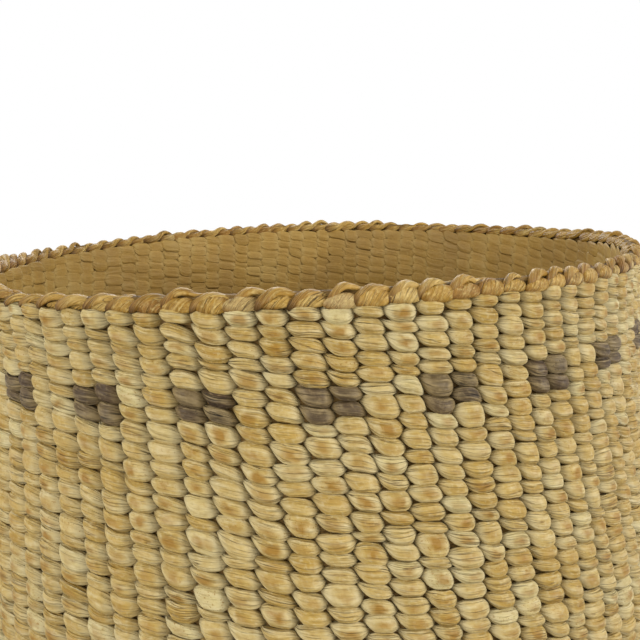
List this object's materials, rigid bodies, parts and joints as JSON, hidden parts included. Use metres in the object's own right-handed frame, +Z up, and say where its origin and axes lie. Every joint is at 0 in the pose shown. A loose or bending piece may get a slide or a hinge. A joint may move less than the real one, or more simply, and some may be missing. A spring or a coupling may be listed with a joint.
{
  "type": "twined basketry bowl",
  "caption": "Small round-bellied twined basket bowl of plant fibre with an open top, a two-strand twisted rim and a band of dark dashes below it.",
  "frame": {"origin": "on the surface the bowl stands on, under the middle of its outline", "axes": "+Z up through the open top; the pictured side looks towards -Y and the longer axis of the slightly oval plan lies close to X"},
  "size_m": [0.1672, 0.159, 0.098],
  "materials": {
    "straw_weft": "matte plant fibre",
    "inner_weft": "matte plant fibre",
    "dark_weft": "matte plant fibre",
    "warp_stem": "matte plant fibre",
    "rim_strand": "matte plant fibre"
  },
  "bodies": {
    "root": {"warps": "warp_stem", "start_outer_weft": "straw_weft", "base_outer_weft": "straw_weft", "heel_outer_weft": "straw_weft", "belly_outer_weft": "straw_weft", "wall_outer_weft": "straw_weft", "pattern_ground_weft": "straw_weft", "upper_outer_weft": "straw_weft", "base_inner_weft": "inner_weft", "heel_inner_weft": "inner_weft", "belly_inner_weft": "inner_weft", "wall_inner_weft": "inner_weft", "rim_outer_strand": "rim_strand", "rim_inner_strand": "rim_strand", "dash_01": "dark_weft", "dash_02": "dark_weft", "dash_03": "dark_weft", "dash_04": "dark_weft", "dash_05": "dark_weft", "dash_06": "dark_weft", "dash_07": "dark_weft", "dash_08": "dark_weft", "dash_09": "dark_weft", "dash_10": "dark_weft", "dash_11": "dark_weft", "dash_12": "dark_weft", "dash_13": "dark_weft", "dash_14": "dark_weft", "dash_15": "dark_weft", "dash_16": "dark_weft", "dash_17": "dark_weft", "dash_18": "dark_weft", "dash_19": "dark_weft", "dash_20": "dark_weft", "dash_21": "dark_weft", "dash_22": "dark_weft", "dash_23": "dark_weft"}
  },
  "joints": []
}
